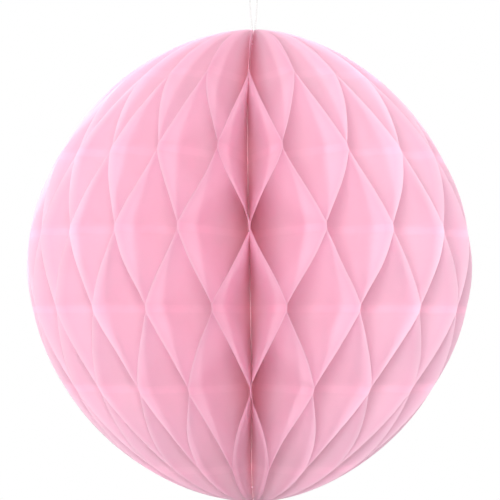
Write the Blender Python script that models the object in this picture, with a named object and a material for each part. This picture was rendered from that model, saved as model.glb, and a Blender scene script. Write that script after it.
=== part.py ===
"""Honeycomb paper ball on a thread loop.

Forty half-discs of tissue lie between two half-discs of card. Each sheet is glued to the next along level
lines, at one set of heights on every other joint and at the heights between them on the rest. The stack is
bound along its straight edge and fanned out all the way round that edge, until the two cards lie face to face.

The origin is the ball's centre, +Z runs up the bound edge to the hanging loop, and -Y is the front.
Lengths are in metres and angles in degrees.
"""

import math

import bmesh
import bpy
from mathutils import Vector
from mathutils.geometry import interpolate_bezier

# The half-disc that every sheet and card is cut to
BALL_HEIGHT = 0.200
BALL_WIDTH = 0.1882
OUTLINE_POWER = 1.853

# The stack
SHEET_COUNT = 40
SHEET_THICKNESS = 0.0002
CARD_THICKNESS = 0.0004
CLEARANCE = 0.0003

# The glue lines
GLUE_LINE_WIDTH = 0.003
GLUE_LINE_PITCH = 0.0313
TOP_LINE_DROP = 0.0247

# How the stack fans out
FRONT_ANGLE = 0.0
CROWDING_ANGLE = 8.6
CREASE_EASE = 0.12
END_OPENING = 0.14

# How far the two poles are drawn aside towards +X, where the thread pulls on the bound edge
POLE_LEAN = 0.0017
LEAN_POWER = 10

# The double-sided tapes that close the two cards
TAPE_THICKNESS = 0.00015
TAPE_WIDTH = 0.010
TAPE_LENGTH = 0.050
TAPE_EDGE_INSET = 0.006
TAPE_CENTRE_HEIGHT = 0.034

# The pink thread that binds the straight edge, and the white one of the hanging loop
THREAD_DIAMETER = 0.0005
STITCH_DEPTH = 0.006
LOOP_HALF_WIDTHS = (
    (0.0009, 0.0000),
    (0.0012, 0.0070),
    (0.0016, 0.0150),
    (0.0020, 0.0230),
    (0.0022, 0.0270),
)
LOOP_HEIGHT = 0.0300

# How finely the outline is stepped
STEPS_BETWEEN_LINES = 3
STEPS_AT_END = 5
STITCH_SEGMENTS = 16
STITCH_SIDES = 6
LOOP_POINTS = 60

HALF_HEIGHT = BALL_HEIGHT / 2
RADIUS = BALL_WIDTH / 2
SHEET_PITCH = SHEET_THICKNESS + CLEARANCE

# Half of the slot that the cards and their tape fill, out to the first tissue's middle plane less half a pitch
CARD_FACE = TAPE_THICKNESS / 2 + CLEARANCE
SEAM_OFFSET = CARD_FACE + CARD_THICKNESS + CLEARANCE / 2

# The bound edges form a ring that is just wide enough for the closest spaced sheets
MEAN_STEP = 360 / SHEET_COUNT
CLOSEST_STEP = math.radians(MEAN_STEP) * (1 - math.radians(CROWDING_ANGLE))
CORE_RADIUS = (SHEET_PITCH + 2 * SEAM_OFFSET / SHEET_COUNT) / CLOSEST_STEP


def outline_radius(height):
    """How far the cut edge is from the bound edge at a height."""
    share = min(abs(height) / HALF_HEIGHT, 1)
    return RADIUS * (1 - share**OUTLINE_POWER) ** (1 / OUTLINE_POWER)


def outline_height(radius):
    """The height above the middle at which the cut edge has come in to a radius."""
    return HALF_HEIGHT * (1 - (radius / RADIUS) ** OUTLINE_POWER) ** (1 / OUTLINE_POWER)


END_HEIGHT = outline_height(CORE_RADIUS + SHEET_PITCH)
LINE_COUNT = 1 + int((END_HEIGHT + HALF_HEIGHT - TOP_LINE_DROP - GLUE_LINE_WIDTH) / GLUE_LINE_PITCH)


def lean(height):
    """How far the bound edge stands aside from the ball's axis at a height."""
    return POLE_LEAN * min(abs(height) / HALF_HEIGHT, 1) ** LEAN_POWER


def line_height(line):
    """The height of a glue line, counted from the top."""
    return HALF_HEIGHT - TOP_LINE_DROP - line * GLUE_LINE_PITCH


def joint_angle(joint):
    """The direction of the joint between two sheets, counted from the first card, from the front towards +X."""
    turn = joint * MEAN_STEP - 180
    return FRONT_ANGLE + turn + CROWDING_ANGLE * (1 - math.cos(math.radians(turn)))


def joint_offset(joint):
    """How far the joint stands aside from a plane through the axis, to leave room for the cards."""
    return SEAM_OFFSET * (1 - 2 * joint / SHEET_COUNT)


def swing(height):
    """Where a sheet is between its joints: 0 on the heights of the even joints' lines, 1 on the odd ones'."""
    below = (line_height(0) - height) / GLUE_LINE_PITCH
    line = min(max(math.floor(below), 0), LINE_COUNT - 1)
    nearest = min(max(round(below), 0), LINE_COUNT - 1)
    side = nearest % 2
    if abs(height - line_height(nearest)) <= GLUE_LINE_WIDTH / 2:
        return side
    if nearest in (0, LINE_COUNT - 1) and not 0 < below < LINE_COUNT - 1:
        beyond = abs(height - line_height(nearest)) - GLUE_LINE_WIDTH / 2
        room = abs(math.copysign(END_HEIGHT, height) - line_height(nearest)) - GLUE_LINE_WIDTH / 2
        opening = END_OPENING * beyond / room
        return abs(side - opening)
    free = GLUE_LINE_PITCH - GLUE_LINE_WIDTH
    along = (line_height(line) - GLUE_LINE_WIDTH / 2 - height) / free
    eased = along * along * (3 - 2 * along)
    crossing = (1 - CREASE_EASE) * along + CREASE_EASE * eased
    return abs(line % 2 - crossing)


def end_heights(edge, end):
    """Heights from the outermost glue line to the end of the sheet, evenly spaced along the outline's curve."""
    first, last = (math.asin((abs(h) / HALF_HEIGHT) ** (OUTLINE_POWER / 2)) for h in (edge, end))
    turns = [first + (last - first) * step / STEPS_AT_END for step in range(1, STEPS_AT_END + 1)]
    return [math.copysign(HALF_HEIGHT * math.sin(turn) ** (2 / OUTLINE_POWER), end) for turn in turns]


def sheet_heights():
    """The heights, from top to bottom, at which a sheet or card is stepped."""
    half_line = GLUE_LINE_WIDTH / 2
    top_edge = line_height(0) + half_line
    heights = end_heights(top_edge, END_HEIGHT)[::-1]
    free = GLUE_LINE_PITCH - GLUE_LINE_WIDTH
    for line in range(LINE_COUNT):
        heights += [line_height(line) + half_line, line_height(line) - half_line]
        if line < LINE_COUNT - 1:
            for step in range(1, STEPS_BETWEEN_LINES):
                heights.append(line_height(line) - half_line - free * step / STEPS_BETWEEN_LINES)
    return heights + end_heights(heights[-1], -END_HEIGHT)


def directions(angle):
    """The outward and the sideways direction at an angle round the ball."""
    turn = math.radians(angle)
    outward = Vector((math.sin(turn), -math.cos(turn), 0))
    sideways = Vector((math.cos(turn), math.sin(turn), 0))
    return outward, sideways


def paint(name, color, roughness):
    material = bpy.data.materials.new(name)
    material.use_nodes = True
    shader = material.node_tree.nodes["Principled BSDF"]
    shader.inputs["Base Color"].default_value = (*color, 1)
    shader.inputs["Roughness"].default_value = roughness
    shader.inputs["Metallic"].default_value = 0
    return material


def add_object(name, data, material):
    thing = bpy.data.objects.new(name, data)
    data.materials.append(material)
    bpy.context.scene.collection.objects.link(thing)
    return thing


def add_leaf(name, thickness, place, material):
    """A sheet or card: a closed skin ruled from the bound edge out to the cut edge at each height."""
    leaf = bmesh.new()
    sections = []
    for height in sheet_heights():
        angle, offset = place(height)
        outward, sideways = directions(angle)
        rise = Vector((lean(height), 0, height))
        corners = []
        for side, reach in ((-1, CORE_RADIUS), (-1, None), (1, None), (1, CORE_RADIUS)):
            radius = reach or outline_radius(height)
            aside = offset + side * thickness / 2
            corners.append(leaf.verts.new(rise + outward * radius + sideways * aside))
        sections.append(corners)
    for upper, lower in zip(sections, sections[1:]):
        for corner in range(4):
            following = (corner + 1) % 4
            a, b, c, d = upper[following], upper[corner], lower[corner], lower[following]
            if corner == 0:
                # Both broad sides are split along the same diagonal, so that a twisted leaf keeps its thickness
                a, b, c, d = b, c, d, a
            leaf.faces.new((a, b, c))
            leaf.faces.new((a, c, d))
    leaf.faces.new(sections[0])
    leaf.faces.new(reversed(sections[-1]))
    bmesh.ops.recalc_face_normals(leaf, faces=leaf.faces)
    mesh = bpy.data.meshes.new(name)
    leaf.to_mesh(mesh)
    leaf.free()
    return add_object(name, mesh, material)


def add_sheet(number, material):
    """A tissue, which crosses from the joint before it to the joint after it between one glue line and the next."""
    before, after = number - 1, number

    def place(height):
        share = swing(height) if before % 2 == 0 else 1 - swing(height)
        angle = joint_angle(before) + share * (joint_angle(after) - joint_angle(before))
        start = joint_offset(before) + SHEET_PITCH / 2
        finish = joint_offset(after) - SHEET_PITCH / 2
        return angle, start + share * (finish - start)

    return add_leaf(f"tissue_sheet_{number:02d}", SHEET_THICKNESS, place, material)


def add_card(name, side, material):
    """A card cover, flat against its twin at the back of the ball."""
    aside = side * (CARD_FACE + CARD_THICKNESS / 2)
    return add_leaf(name, CARD_THICKNESS, lambda height: (joint_angle(0), aside), material)


def add_tape(name, side, material):
    """A strip of double-sided tape in the slot between the cards, a little in from their cut edge."""
    outward, sideways = directions(joint_angle(0))
    middle = side * TAPE_CENTRE_HEIGHT
    tip = TAPE_CENTRE_HEIGHT + TAPE_LENGTH / 2
    rim = outline_radius(tip) - TAPE_EDGE_INSET
    tape = bmesh.new()
    for across in (-1, 1):
        aside = sideways * across * TAPE_THICKNESS / 2
        for along in (-1, 1):
            rise = Vector((0, 0, middle + along * TAPE_LENGTH / 2))
            tape.verts.new(rise + outward * rim + aside)
            tape.verts.new(rise + outward * (rim - TAPE_WIDTH) + aside)
    bmesh.ops.convex_hull(tape, input=tape.verts)
    bmesh.ops.recalc_face_normals(tape, faces=tape.faces)
    mesh = bpy.data.meshes.new(name)
    tape.to_mesh(mesh)
    tape.free()
    return add_object(name, mesh, material)


def stitch_radius():
    """The middle line of a stitch, which lies against the bound edges inside their ring."""
    return CORE_RADIUS - CLEARANCE - THREAD_DIAMETER / 2


def add_stitch(name, height, material):
    """A closed turn of thread inside the ring of bound edges."""
    bpy.ops.mesh.primitive_torus_add(
        major_radius=stitch_radius(),
        minor_radius=THREAD_DIAMETER / 2,
        major_segments=STITCH_SEGMENTS,
        minor_segments=STITCH_SIDES,
        location=(lean(height), 0, height),
    )
    stitch = bpy.context.object
    stitch.name = name
    stitch.data.name = name
    stitch.data.materials.append(material)
    stitch.data.shade_smooth()
    return stitch


def loop_route(stitch_height):
    """The loop's middle line: up from the top stitch, out at the pole, round the crown and back down."""
    right = [(stitch_radius(), stitch_height + THREAD_DIAMETER + CLEARANCE)]
    right += [(half_width, HALF_HEIGHT + rise) for half_width, rise in LOOP_HALF_WIDTHS]
    crown = [(0, HALF_HEIGHT + LOOP_HEIGHT)]
    left = [(-half_width, height) for half_width, height in reversed(right)]
    knots = [Vector((lean(height) + across, 0, height)) for across, height in right + crown + left]
    return smooth_route(knots, LOOP_POINTS)


def smooth_route(knots, count):
    """Evenly spaced points on a smooth curve through the knots."""
    fine = []
    last = len(knots) - 1
    for index in range(last):
        start, finish = knots[index], knots[index + 1]
        reach = (finish - start).length / 3
        ahead = (knots[min(index + 2, last)] - start).normalized() * reach
        behind = (finish - knots[max(index - 1, 0)]).normalized() * reach
        fine += interpolate_bezier(start, start + behind, finish - ahead, finish, 40)[:-1]
    fine.append(knots[-1])
    lengths = [0]
    for start, finish in zip(fine, fine[1:]):
        lengths.append(lengths[-1] + (finish - start).length)
    points = []
    index = 0
    for number in range(count):
        wanted = lengths[-1] * number / (count - 1)
        while index < len(lengths) - 2 and lengths[index + 1] < wanted:
            index += 1
        span = lengths[index + 1] - lengths[index]
        points.append(fine[index].lerp(fine[index + 1], (wanted - lengths[index]) / span))
    return points


def add_loop(name, stitch_height, material):
    """The hanging loop, a tube of thread."""
    curve = bpy.data.curves.new(name, "CURVE")
    curve.dimensions = "3D"
    curve.bevel_depth = THREAD_DIAMETER / 2
    curve.bevel_resolution = 2
    curve.use_fill_caps = True
    points = loop_route(stitch_height)
    spline = curve.splines.new("POLY")
    spline.points.add(len(points) - 1)
    for spot, point in zip(spline.points, points):
        spot.co = (*point, 1)
    return add_object(name, curve, material)


def build():
    for thing in list(bpy.data.objects):
        bpy.data.objects.remove(thing)
    tissue = paint("pink tissue", (0.90, 0.42, 0.55), 0.85)
    card = paint("pink card", (0.86, 0.38, 0.50), 0.75)
    film = paint("clear tape", (0.90, 0.88, 0.84), 0.35)
    binding = paint("pink cotton", (0.86, 0.42, 0.53), 0.80)
    cotton = paint("white cotton", (0.90, 0.90, 0.89), 0.80)
    for number in range(1, SHEET_COUNT + 1):
        add_sheet(number, tissue)
    add_card("card_cover_left", 1, card)
    add_card("card_cover_right", -1, card)
    add_tape("closing_tape_upper", 1, film)
    add_tape("closing_tape_lower", -1, film)
    top_stitch = END_HEIGHT - STITCH_DEPTH
    add_stitch("binding_stitch_top", top_stitch, binding)
    add_stitch("binding_stitch_middle", 0, binding)
    add_stitch("binding_stitch_bottom", -top_stitch, binding)
    add_loop("hanging_loop", top_stitch, cotton)


build()
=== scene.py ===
"""The honeycomb paper ball as photographed: pink tissue cells on a white thread loop, in soft white light.

Lengths are in metres, and angles with a name of their own are in degrees.
"""

import math

import bpy
import numpy as np
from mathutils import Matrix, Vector
from mathutils.geometry import interpolate_bezier


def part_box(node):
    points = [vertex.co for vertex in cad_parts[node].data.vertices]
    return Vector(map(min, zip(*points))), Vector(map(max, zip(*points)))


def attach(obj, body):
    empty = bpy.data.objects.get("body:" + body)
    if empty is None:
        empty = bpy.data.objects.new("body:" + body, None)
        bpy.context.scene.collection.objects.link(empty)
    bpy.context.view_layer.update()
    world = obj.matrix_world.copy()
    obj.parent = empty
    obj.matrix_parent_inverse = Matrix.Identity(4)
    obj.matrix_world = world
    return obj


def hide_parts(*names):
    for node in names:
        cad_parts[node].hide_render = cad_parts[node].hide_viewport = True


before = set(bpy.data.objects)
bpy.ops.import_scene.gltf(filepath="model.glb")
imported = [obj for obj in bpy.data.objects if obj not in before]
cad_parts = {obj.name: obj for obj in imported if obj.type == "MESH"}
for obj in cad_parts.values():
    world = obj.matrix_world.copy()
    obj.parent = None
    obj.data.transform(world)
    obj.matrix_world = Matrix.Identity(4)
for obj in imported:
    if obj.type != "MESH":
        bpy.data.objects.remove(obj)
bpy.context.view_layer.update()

# The photograph: the ball hangs about a metre from a long lens and fills the picture from side to side. The
# lens stands a little below the ball's middle and looks slightly up at it.
CAMERA_PLACE = Vector((0, -0.934, -0.0263))
CAMERA_AIM = Vector((0.0002, 0, 0.0064))
CAMERA_LENS = 158.4

camera = bpy.data.objects.new("camera", bpy.data.cameras.new("camera"))
bpy.context.scene.collection.objects.link(camera)
camera.location = CAMERA_PLACE
camera.rotation_euler = (CAMERA_AIM - CAMERA_PLACE).to_track_quat("-Z", "Y").to_euler()
camera.data.lens = CAMERA_LENS
camera.data.clip_start = 0.01
camera.data.clip_end = 50
bpy.context.scene.camera = camera

# The hanging loop: white two-ply cotton, sewn through the bound edge below the pole. Its two strands leave
# the pole side by side and spread to the crown, which hangs on a hook above the picture.
THREAD_DIAMETER = 0.0005
THREAD_LAY = 0.0011
THREAD_GROOVE = 0.16
THREAD_SIDES = 16
# A grey for the white cotton: painted shade that keeps the strands showing against the white room
SHADED_COTTON_WHITE = (0.56, 0.56, 0.55, 1)
COTTON_FUZZ_SCALE = 9000
COTTON_FUZZ_DEPTH = 0.00004
HALF_HEIGHT = 0.100
POLE_LEAN = 0.0017
LEAN_POWER = 10
# How far each strand stands to the side, and how high above the pole
LOOP_HALF_WIDTHS = (
    (0.0009, 0.0000),
    (0.0012, 0.0070),
    (0.0016, 0.0150),
    (0.0020, 0.0230),
    (0.0022, 0.0270),
)
LOOP_HEIGHT = 0.0300
LOOP_POINTS = 160
ROUTE_STEPS = 40
STITCH_CLEARANCE = 0.0003


class Value:
    """A node socket that Python's own operators do maths on."""

    def __init__(self, tree, socket):
        self.tree = tree
        self.socket = socket

    def combine(self, operation, *terms):
        node = self.tree.nodes.new("ShaderNodeMath")
        node.operation = operation
        for slot, term in zip(node.inputs, terms):
            if isinstance(term, Value):
                self.tree.links.new(term.socket, slot)
            else:
                slot.default_value = term
        return Value(self.tree, node.outputs[0])

    def __add__(self, other):
        return self.combine("ADD", self, other)

    __radd__ = __add__

    def __mul__(self, other):
        return self.combine("MULTIPLY", self, other)

    __rmul__ = __mul__

    def __sub__(self, other):
        return self.combine("SUBTRACT", self, other)

    def __rsub__(self, other):
        return self.combine("SUBTRACT", other, self)

    def __truediv__(self, other):
        return self.combine("DIVIDE", self, other)

    def __pow__(self, other):
        return self.combine("POWER", self, other)

    def __abs__(self):
        return self.combine("ABSOLUTE", self)

    def __lt__(self, other):
        return self.combine("LESS_THAN", self, other)

    def clamp(self):
        return self.combine("MINIMUM", self.combine("MAXIMUM", self, 0), 1)


class Nodes:
    """A node tree in the making: one method adds any node that isn't a sum."""

    def __init__(self, tree):
        self.tree = tree

    def feed(self, slot, value):
        if isinstance(value, Value):
            self.tree.links.new(value.socket, slot)
        else:
            slot.default_value = value

    def add(self, kind, settings=None, inputs=None, out=0):
        """A node of a kind: its settings come first, then the values or links of its sockets."""
        node = self.tree.nodes.new(kind)
        for name, value in (settings or {}).items():
            setattr(node, name, value)
        for name, value in (inputs or {}).items():
            slots = [slot for slot in node.inputs if slot.name == name and slot.enabled]
            self.feed(slots[0] if slots else node.inputs[name], value)
        return Value(self.tree, node.outputs[out])


class Finish(Nodes):
    """A material in the making, with its shader."""

    def __init__(self, name):
        self.material = bpy.data.materials.new(name)
        self.material.use_nodes = True
        super().__init__(self.material.node_tree)
        self.shader = self.tree.nodes["Principled BSDF"]

    def shade(self, color, tone):
        """A colour made lighter or darker by a number."""
        grey = self.add("ShaderNodeCombineColor", None, {"Red": tone, "Green": tone, "Blue": tone})
        settings = {"data_type": "RGBA", "blend_type": "MULTIPLY"}
        return self.add("ShaderNodeMix", settings, {0: 1.0, "A": color, "B": grey}, out=2)

    def blend(self, share, start, finish):
        """A colour between two, by a number from 0 to 1."""
        return self.add("ShaderNodeMix", {"data_type": "RGBA"}, {0: share, "A": start, "B": finish}, out=2)

    def mix(self, share, start, finish):
        """A shader between two, by a number from 0 to 1."""
        return self.add("ShaderNodeMixShader", None, {0: share, 1: start, 2: finish})

    def glow(self, color, tone, bump):
        """Light that comes through from behind."""
        tinted = (*(tone * part for part in color[:3]), 1)
        return self.add("ShaderNodeBsdfTranslucent", None, {"Color": tinted, "Normal": bump})

    def noise(self, scale, detail=2):
        place = self.add("ShaderNodeTexCoord", out="Object")
        return self.add("ShaderNodeTexNoise", None, {"Vector": place, "Scale": scale, "Detail": detail})

    def bump(self, height, strength, distance):
        inputs = {"Height": height, "Strength": strength, "Distance": distance}
        return self.add("ShaderNodeBump", None, inputs)

    def paint(self, **inputs):
        for name, value in inputs.items():
            self.feed(self.shader.inputs[name.replace("_", " ")], value)


def cotton(name, color):
    finish = Finish(name)
    fuzz = finish.noise(COTTON_FUZZ_SCALE, 3)
    bump = finish.bump(fuzz, 0.3, COTTON_FUZZ_DEPTH)
    shaded = finish.shade(color, 0.94 + 0.1 * fuzz)
    finish.paint(Base_Color=shaded, Normal=bump, Roughness=0.85, Sheen_Weight=0.3)
    return finish.material


def lean(height):
    """How far the bound edge stands aside from the ball's axis: the thread draws the poles towards +X."""
    return POLE_LEAN * min(abs(height) / HALF_HEIGHT, 1) ** LEAN_POWER


def smooth_route(knots, count):
    """Evenly spaced points on a smooth curve through the knots, and its length."""
    fine = []
    last = len(knots) - 1
    for index in range(last):
        start, finish = knots[index], knots[index + 1]
        reach = (finish - start).length / 3
        ahead = (knots[min(index + 2, last)] - start).normalized() * reach
        behind = (finish - knots[max(index - 1, 0)]).normalized() * reach
        fine += interpolate_bezier(start, start + behind, finish - ahead, finish, ROUTE_STEPS)[:-1]
    fine.append(knots[-1])
    line = np.array(fine)
    along = np.concatenate([[0], np.cumsum(np.linalg.norm(np.diff(line, axis=0), axis=1))])
    wanted = np.linspace(0, along[-1], count)
    route = [np.interp(wanted, along, line[:, axis]) for axis in range(3)]
    return np.stack(route, axis=1), float(along[-1])


def add_piece(name, points, faces, material, slot, *nodes):
    """A mesh piece that stands for CAD nodes, rides on the ball and takes the material given."""
    mesh = bpy.data.meshes.new(name)
    mesh.from_pydata(points, [], faces)
    mesh.materials.append(material)
    mesh.shade_smooth()
    piece = bpy.data.objects.new(name, mesh)
    bpy.context.scene.collection.objects.link(piece)
    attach(piece, "root")
    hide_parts(*nodes)
    return piece


def twisted_thread(route, plane, closed=False):
    """Points and faces of a two-ply thread: a round tube with two grooves that wind along it."""
    rings = len(route)
    following = np.roll(route, -1, axis=0)
    if closed:
        ahead = following - np.roll(route, 1, axis=0)
    else:
        ahead = np.gradient(route, axis=0)
    ahead /= np.linalg.norm(ahead, axis=1, keepdims=True)
    steps = np.linalg.norm(following - route, axis=1)
    whole = steps.sum() if closed else steps[:-1].sum()
    along = np.concatenate([[0], np.cumsum(steps)[:-1]])
    across = np.tile(plane, (rings, 1))
    beside = np.cross(across, ahead)
    turn = 2 * math.pi * np.arange(THREAD_SIDES) / THREAD_SIDES
    phase = 2 * math.pi * round(whole / THREAD_LAY) * along[:, None] / whole
    reach = THREAD_DIAMETER / 2 * (1 - THREAD_GROOVE * (0.5 + 0.5 * np.cos(2 * turn - phase)) ** 2)
    points = route[:, None, :] + (reach * np.cos(turn))[..., None] * across[:, None, :]
    points += (reach * np.sin(turn))[..., None] * beside[:, None, :]
    index = np.arange(rings * THREAD_SIDES).reshape(rings, THREAD_SIDES)
    onward = np.roll(index, -1, axis=0)
    quads = np.stack([index, np.roll(index, -1, axis=1), np.roll(onward, -1, axis=1), onward], axis=-1)
    faces = quads[: rings if closed else rings - 1].reshape(-1, 4).tolist()
    if not closed:
        faces += [index[0][::-1].tolist(), index[-1].tolist()]
    return points.reshape(-1, 3).tolist(), faces


white_cotton = cotton("white cotton", SHADED_COTTON_WHITE)

stitch_low, stitch_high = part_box("binding_stitch_top")
sewing_reach = (stitch_high[0] - stitch_low[0] - THREAD_DIAMETER) / 2
sewing_height = (stitch_high[2] + stitch_low[2]) / 2

right = [(sewing_reach, sewing_height + THREAD_DIAMETER + STITCH_CLEARANCE)]
right += [(half_width, HALF_HEIGHT + rise) for half_width, rise in LOOP_HALF_WIDTHS]
crown = [(0, HALF_HEIGHT + LOOP_HEIGHT)]
left = [(-half_width, height) for half_width, height in reversed(right)]
knots = [Vector((lean(height) + across, 0, height)) for across, height in right + crown + left]
loop_line, loop_length = smooth_route(knots, LOOP_POINTS)
loop_points, loop_faces = twisted_thread(loop_line, (0, -1, 0))
loop = add_piece("thread_loop", loop_points, loop_faces, white_cotton, "thread", "hanging_loop")

# The tissues: forty half-discs of pink tissue paper, die cut in one stack. Level lines of glue join each to
# the next, staggered from joint to joint, so that the fanned stack opens into diamond cells.
BALL_WIDTH = 0.1882
OUTLINE_POWER = 1.853
SHEET_COUNT = 40
GLUE_LINE_WIDTH = 0.003
GLUE_LINE_PITCH = 0.0313
TOP_LINE_DROP = 0.0247
# How far each glue line lies above its even place, from the top down
LINE_SHIFTS = (0.0026, 0.0006, 0.0000, -0.0004, -0.0015, -0.0040)
LINE_COUNT = len(LINE_SHIFTS)
CROWDING_ANGLE = 8.6
CREASE_EASE = 0.12
END_OPENING = 0.14
CORE_DIAMETER = 0.0030
TISSUE_PITCH = 0.00016
# The slot at the back, which the two cards and their tapes fill
CARD_THICKNESS = 0.0004
TAPE_THICKNESS = 0.00014
HAIR_GAP = 0.00001
# How far the paper strays from its even shape
TISSUE_STRAY = 0.0004
STRAY_WAVES = 40
END_FREEDOM = 0.5
JOINT_STRAY_ANGLE = 0.3
BOUND_EDGE_BOW = 0.0022
# The fineness of the mesh
ROWS_BETWEEN_LINES = 18
ROWS_AT_END = 14
ROWS_ON_LINE = 3
COLUMNS = 14
COLUMN_EASE = 1.4
# The tints, with bands as shares of the outline's radius except for the rim's. Only the plain pink is the
# paper's own colour:
# the paler rim band is a painted highlight, and the paler core and bound edge are painted light that lifts
# the shade deep in the cells.
TISSUE_PINK = (0.915, 0.60, 0.73, 1)
RIM_PAINTED_HIGHLIGHT_PINK = (0.94, 0.68, 0.79, 1)
CORE_PAINTED_LIGHT_PINK = (0.975, 0.935, 0.955, 1)
BOUND_EDGE_PAINTED_LIGHT_PINK = (0.992, 0.78, 0.84, 1)
RIM_HIGHLIGHT_BAND = 0.006
CORE_LIGHT_BAND = 0.95
CORE_LIGHT_EASE = 0.65
BOUND_LIGHT_BAND = 0.45
TISSUE_THROUGH = 0.40
MOTTLE_SCALE = 260
MOTTLE_DEPTH = 0.0002
FIBRE_SCALE = 2600

ball_radius = BALL_WIDTH / 2
mean_step = 360 / SHEET_COUNT
card_face = TAPE_THICKNESS / 2 + HAIR_GAP
seam_offset = card_face + CARD_THICKNESS + TISSUE_PITCH / 4
closest_step = math.radians(mean_step) * (1 - math.radians(CROWDING_ANGLE))
core_radius = CORE_DIAMETER / 2
end_height = HALF_HEIGHT * (1 - (2 * core_radius / ball_radius) ** OUTLINE_POWER) ** (1 / OUTLINE_POWER)
dice = np.random.default_rng(7)
strays = JOINT_STRAY_ANGLE * dice.uniform(-1, 1, (SHEET_COUNT + 1, LINE_COUNT))
strays[[0, SHEET_COUNT]] = 0


def outline_radius(height):
    share = np.minimum(np.abs(height) / HALF_HEIGHT, 1)
    return ball_radius * (1 - share**OUTLINE_POWER) ** (1 / OUTLINE_POWER)


def line_height(line):
    return HALF_HEIGHT - TOP_LINE_DROP - line * GLUE_LINE_PITCH + LINE_SHIFTS[line]


def joint_angle(joint, line):
    """The direction of a joint at a glue line, from the front towards +X, in radians."""
    turn = math.radians(joint * mean_step - 180)
    return turn + math.radians(CROWDING_ANGLE) * (1 - math.cos(turn)) + math.radians(strays[joint, line])


def joint_offset(joint):
    return seam_offset * (1 - 2 * joint / SHEET_COUNT)


def end_rows(edge, end, count):
    """Heights from the last glue line to the end of the sheet, evenly spaced along the outline's curve."""
    shares = (abs(height) / HALF_HEIGHT for height in (edge, end))
    first, last = (math.asin(share ** (OUTLINE_POWER / 2)) for share in shares)
    turns = first + (last - first) * np.arange(1, count + 1) / count
    return np.copysign(HALF_HEIGHT * np.sin(turns) ** (2 / OUTLINE_POWER), end)


def sheet_rows():
    """A sheet's rows from the top down: height, glue line behind and ahead, share of the way, freedom."""
    rows = []
    top, bottom = 0, LINE_COUNT - 1
    first_edge = line_height(top) + GLUE_LINE_WIDTH / 2
    for height in end_rows(first_edge, end_height, ROWS_AT_END)[::-1]:
        beyond = (height - first_edge) / (end_height - first_edge)
        rows.append((height, top, top + 1, END_OPENING * beyond, END_FREEDOM * beyond))
    for line in range(LINE_COUNT):
        for step in np.linspace(0.5, -0.5, ROWS_ON_LINE):
            rows.append((line_height(line) + GLUE_LINE_WIDTH * step, line, line, 0, 0))
        if line < bottom:
            free_height = line_height(line) - line_height(line + 1) - GLUE_LINE_WIDTH
            for along in np.arange(1, ROWS_BETWEEN_LINES) / ROWS_BETWEEN_LINES:
                eased = along**2 * (3 - 2 * along)
                crossing = (1 - CREASE_EASE) * along + CREASE_EASE * eased
                height = line_height(line) - GLUE_LINE_WIDTH / 2 - free_height * along
                rows.append((height, line, line + 1, crossing, math.sin(math.pi * along) ** 2))
    last_edge = line_height(bottom) - GLUE_LINE_WIDTH / 2
    for height in end_rows(last_edge, -end_height, ROWS_AT_END):
        beyond = (height - last_edge) / (-end_height - last_edge)
        rows.append((height, bottom, bottom - 1, END_OPENING * beyond, END_FREEDOM * beyond))
    return rows


def quads(index):
    """The corners of each face between the rows and columns of a grid of point numbers."""
    corners = [index[:-1, :-1], index[1:, :-1], index[1:, 1:], index[:-1, 1:]]
    return np.stack(corners, axis=-1).reshape(-1, 4)


def surface(middle):
    """Points and faces of a sheet that is too thin to show its thickness."""
    rows, columns = middle.shape[:2]
    index = np.arange(rows * columns).reshape(rows, columns)
    return middle.reshape(-1, 3).tolist(), quads(index).tolist()


def bow(heights):
    """How far the bound edge wanders from a straight line towards +X between the poles."""
    share = np.asarray(heights) / HALF_HEIGHT
    return (share**2 - 1) * BOUND_EDGE_BOW * share


def spread(heights, angles, radius, aside):
    """The points at each row's angle and height, over a grid of radii and of distances aside."""
    outward = np.stack([np.sin(angles), -np.cos(angles), 0 * angles], axis=-1)
    sideways = np.stack([np.cos(angles), np.sin(angles), 0 * angles], axis=-1)
    points = outward[:, None] * radius[..., None] + sideways[:, None] * aside[..., None]
    points[..., 0] += np.array([lean(height) for height in heights])[:, None]
    points[..., 0] += bow(heights)[:, None] * (1 - out)
    points[..., 2] += heights[:, None]
    return points


def paper_tone(cloud, fibre, glued):
    """How light the paper is: its mottle and fibre run from 0 to 1. Along the glue lines it is paler, partly
    the glue's own mark and partly painted light that offsets the shade where the paper lies doubled.
    """
    return 0.962 + 0.025 * cloud + 0.017 * fibre + 0.04 * glued


def by_place(join, parts, in_rim_highlight, in_core_light, at_bound_light):
    """A tissue's four tints, or four shaders, joined by how far out on the tissue they lie: the plain pink,
    the rim's painted highlight, and the painted light that makes the core and bound edge paler.
    """
    plain, rim, core, bound = parts
    return join(in_rim_highlight, join(in_core_light, plain, join(at_bound_light, core, bound)), rim)


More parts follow.
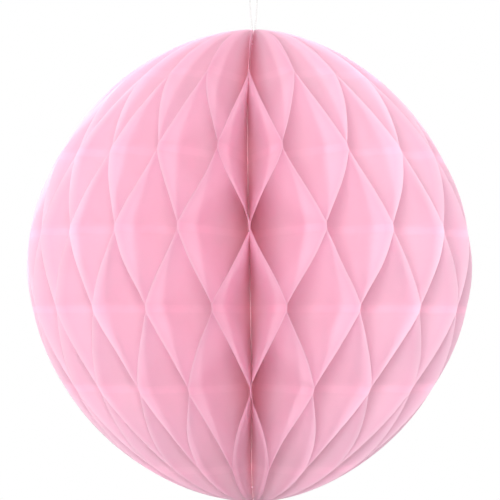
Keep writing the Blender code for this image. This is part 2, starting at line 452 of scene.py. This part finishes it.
def pink_paper(name, *tints):
    """Dyed paper with a mottle and fibre. Tissue has four tints, three of them painted highlight or painted
    light by place, and lets light through; card has one.
    """
    finish = Finish(name)
    place = finish.add("ShaderNodeTexCoord", out="Object")
    split = finish.add("ShaderNodeSeparateXYZ", None, {"Vector": place}).socket.node
    across, depth, height = (Value(finish.tree, part) for part in split.outputs)
    cloud = finish.noise(MOTTLE_SCALE, 4)
    fibre = finish.noise(FIBRE_SCALE)
    bump = finish.bump(cloud + 0.5 * fibre, 0.25, MOTTLE_DEPTH)
    # Paler along each glue line: partly the glue's mark, partly painted light against the shade of the
    # doubled paper
    glued = 0
    for line in range(LINE_COUNT):
        glued = glued + (abs(height - line_height(line)) < GLUE_LINE_WIDTH / 2)
    color = tints[0]
    if len(tints) > 1:
        radius = (across * across + depth * depth) ** 0.5
        share = abs(height) / HALF_HEIGHT
        edge = ball_radius * (1 - share**OUTLINE_POWER) ** (1 / OUTLINE_POWER)
        # Painted highlight: a paler band along the rim of each tissue
        in_rim_highlight = (1 - (edge - radius) / RIM_HIGHLIGHT_BAND).clamp() ** 2
        # Painted light: paler towards the core and the bound edge, lifting the shade deep in the cells
        in_core_light = (1 - radius / edge / CORE_LIGHT_BAND).clamp() ** CORE_LIGHT_EASE
        at_bound_light = (1 - radius / edge / BOUND_LIGHT_BAND).clamp()
        color = by_place(finish.blend, tints, in_rim_highlight, in_core_light, at_bound_light)
        # The light through the tissue takes the same tints, with their painted highlight and painted light
        lit = [finish.glow(tint, paper_tone(0.5, 0.5, 0), bump) for tint in tints]
        through = by_place(finish.mix, lit, in_rim_highlight, in_core_light, at_bound_light)
        front = Value(finish.tree, finish.shader.outputs[0])
        paper = finish.mix(TISSUE_THROUGH, front, through)
        finish.feed(finish.tree.nodes["Material Output"].inputs["Surface"], paper)
    color = finish.shade(color, paper_tone(cloud, fibre, glued))
    finish.paint(Base_Color=color, Normal=bump, Roughness=0.9, Specular_IOR_Level=0.2)
    return finish.material


tissue_paper = pink_paper("pink tissue paper", TISSUE_PINK, RIM_PAINTED_HIGHLIGHT_PINK, CORE_PAINTED_LIGHT_PINK, BOUND_EDGE_PAINTED_LIGHT_PINK)
rows = sheet_rows()
row_heights = np.array([row[0] for row in rows])
freedom = np.array([row[4] for row in rows])
out = np.linspace(0, 1, COLUMNS + 1)[None, :] ** COLUMN_EASE
row_radii = core_radius + out * (outline_radius(row_heights)[:, None] - core_radius)


def lay_tissue(number):
    """A tissue that crosses from the joint before it to the joint after it between glue lines."""
    joints = [number - 1 if (number - 1 - line) % 2 == 0 else number for line in range(LINE_COUNT)]
    room = np.minimum(TISSUE_PITCH, closest_step * row_radii - 2 * seam_offset / SHEET_COUNT) / 2

    def place(line):
        joint = joints[line]
        side = 1 if joint == number - 1 else -1
        return joint_angle(joint, line), joint_offset(joint), side

    angles, asides = [], []
    for row, (_, start, finish, share, _) in enumerate(rows):
        start_angle, start_offset, start_side = place(start)
        finish_angle, finish_offset, finish_side = place(finish)
        angles.append(start_angle + share * (finish_angle - start_angle))
        offset = start_offset + share * (finish_offset - start_offset)
        side = start_side + share * (finish_side - start_side)
        asides.append(offset + side * room[row])
    asides = np.array(asides)
    for count in (1, 2, 3):
        phase, slant = dice.uniform(0, 2 * math.pi), dice.uniform(-2, 2)
        wave = np.sin(STRAY_WAVES * count * row_heights[:, None] + phase + slant * out * count) / count
        asides += TISSUE_STRAY * wave * freedom[:, None] * out**2
    return spread(row_heights, np.array(angles), row_radii, asides)


tissues = [lay_tissue(number) for number in range(1, SHEET_COUNT + 1)]
for number, middle in enumerate(tissues, 1):
    points, faces = surface(middle)
    if number < SHEET_COUNT:
        # A narrow foot reaches to the next tissue and closes the core
        foot = np.stack([middle[:, 0], tissues[number][:, 0]], axis=1)
        foot_points, foot_faces = surface(foot)
        faces += [[index + len(points) for index in face] for face in foot_faces]
        points += foot_points
    add_piece(f"tissue_{number:02d}", points, faces, tissue_paper, "tissue", f"tissue_sheet_{number:02d}")

# The card covers: two half-discs of pink card with the tissues' outline, one glued to each end of the stack.
# Once the stack is fanned all the way round, they lie face to face at the back of the ball.
CARD_PINK = (0.86, 0.40, 0.52, 1)

pink_card = pink_paper("pink card", CARD_PINK)


def skin(middle, thickness):
    """Points and faces of a closed thin sheet about a grid of points on its middle surface."""
    normal = np.cross(np.gradient(middle, axis=0), np.gradient(middle, axis=1))
    normal /= np.linalg.norm(normal, axis=2, keepdims=True)
    front = middle + normal * thickness / 2
    back = middle - normal * thickness / 2
    points = np.concatenate([front.reshape(-1, 3), back.reshape(-1, 3)])
    rows, columns = middle.shape[:2]
    size = rows * columns
    index = np.arange(size).reshape(rows, columns)
    faces = [quads(index), quads(index)[:, ::-1] + size]
    border = np.concatenate([index[0, :-1], index[:-1, -1], index[-1, :0:-1], index[:0:-1, 0]])
    following = np.roll(border, -1)
    faces.append(np.stack([border, following, following + size, border + size], axis=-1))
    return points.tolist(), np.concatenate(faces).tolist()


def add_card(name, side, node):
    aside = np.full(row_radii.shape, side * (card_face + CARD_THICKNESS / 2))
    angles = np.full(row_heights.shape, joint_angle(0, 0))
    points, faces = skin(spread(row_heights, angles, row_radii, aside), CARD_THICKNESS)
    card = add_piece(name, points, faces, pink_card, "card", node)
    card.data.shade_flat()


add_card("card_left", 1, "card_cover_left")
add_card("card_right", -1, "card_cover_right")

# The closing tapes: two strips of clear double-sided tape near the cut edge, which hold the cards together.
# They are hidden between the cards.
TAPE_WIDTH = 0.010
TAPE_LENGTH = 0.050
TAPE_EDGE_INSET = 0.006
TAPE_CENTRE_HEIGHT = 0.034
TAPE_TINT = (0.90, 0.88, 0.84, 1)

clear_film = Finish("clear tape")
clear_film.paint(Base_Color=TAPE_TINT, Roughness=0.35)


def add_tape(name, side, node):
    angle = joint_angle(0, 0)
    outward = Vector((math.sin(angle), -math.cos(angle), 0))
    sideways = Vector((math.cos(angle), math.sin(angle), 0))
    rim = float(outline_radius(TAPE_CENTRE_HEIGHT + TAPE_LENGTH / 2)) - TAPE_EDGE_INSET
    corners = []
    for across in (-1, 1):
        for reach, along in ((rim - TAPE_WIDTH, -1), (rim, -1), (rim, 1), (rim - TAPE_WIDTH, 1)):
            rise = Vector((0, 0, side * TAPE_CENTRE_HEIGHT + along * TAPE_LENGTH / 2))
            corners.append(rise + outward * reach + sideways * across * TAPE_THICKNESS / 2)
    faces = [(3, 2, 1, 0), (4, 5, 6, 7), (0, 1, 5, 4), (1, 2, 6, 5), (2, 3, 7, 6), (3, 0, 4, 7)]
    tape = add_piece(name, corners, faces, clear_film.material, "tape", node)
    tape.data.shade_flat()


add_tape("tape_upper", 1, "closing_tape_upper")
add_tape("tape_lower", -1, "closing_tape_lower")

# The binding stitches: three turns of pink cotton, sewn through the stack close to its straight edge before
# it was fanned. They lie deep between the tissues.
STITCH_POINTS = 90
COTTON_PINK = (0.92, 0.64, 0.75, 1)

pink_cotton = cotton("pink cotton", COTTON_PINK)


def add_stitch(name, height, node):
    turn = 2 * math.pi * np.arange(STITCH_POINTS) / STITCH_POINTS
    middle = lean(height) + float(bow(height))
    ring = [middle + sewing_reach * np.cos(turn), sewing_reach * np.sin(turn), np.full(STITCH_POINTS, height)]
    points, faces = twisted_thread(np.stack(ring, axis=1), (0, 0, 1), closed=True)
    add_piece(name, points, faces, pink_cotton, "binding", node)


add_stitch("stitch_top", sewing_height, "binding_stitch_top")
add_stitch("stitch_middle", 0, "binding_stitch_middle")
add_stitch("stitch_bottom", -sewing_height, "binding_stitch_bottom")

# The stage: a white room, with a little more light from above than from below. A large lamp beside the camera
# lights the cells down to the bound edge, one on each side of it draws the pale bands along the rims, and one
# lights the ball from behind.
ROOM_LIGHT = 0.48
ROOM_SLOPE = 0.18
FRONT_LIGHT = 12.0
FRONT_PLACE = Vector((-0.06, -1.2, 0.05))
FRONT_SIZE = 0.4
LEFT_LIGHT = 5.5
RIGHT_LIGHT = 4.8
SIDE_PLACE = Vector((0.7, -1.0, 0.2))
SIDE_SIZE = 0.25
BACK_LIGHT = 17.0
BACK_PLACE = Vector((-0.2, 1.1, 0.45))
BACK_SIZE = 0.5
CELL_BOUNCES = 24

world = bpy.data.worlds.new("white room")
bpy.context.scene.world = world
world.use_nodes = True
backdrop = world.node_tree.nodes["Background"]
backdrop.inputs["Color"].default_value = (1, 1, 1, 1)
sky = Nodes(world.node_tree)
direction = sky.add("ShaderNodeTexCoord", out="Generated")
upward = sky.add("ShaderNodeSeparateXYZ", None, {"Vector": direction}, out="Z")
room = ROOM_LIGHT * (1 + ROOM_SLOPE * upward)
seen = sky.add("ShaderNodeLightPath", out="Is Camera Ray")
sky.feed(backdrop.inputs["Strength"], room + (1 - room) * seen)


def add_lamp(name, energy, place, size):
    lamp = bpy.data.objects.new(name, bpy.data.lights.new(name, "AREA"))
    bpy.context.scene.collection.objects.link(lamp)
    lamp.data.shape = "DISK"
    lamp.data.size = size
    lamp.data.energy = energy
    lamp.location = place
    lamp.rotation_euler = (-place).to_track_quat("-Z", "Y").to_euler()


add_lamp("front lamp", FRONT_LIGHT, FRONT_PLACE, FRONT_SIZE)
add_lamp("left lamp", LEFT_LIGHT, Vector((-1, 1, 1)) * SIDE_PLACE, SIDE_SIZE)
add_lamp("right lamp", RIGHT_LIGHT, SIDE_PLACE, SIDE_SIZE)
add_lamp("back lamp", BACK_LIGHT, BACK_PLACE, BACK_SIZE)

bpy.context.scene.view_settings.view_transform = "Standard"
bpy.context.scene.cycles.max_bounces = CELL_BOUNCES
bpy.context.scene.cycles.diffuse_bounces = CELL_BOUNCES
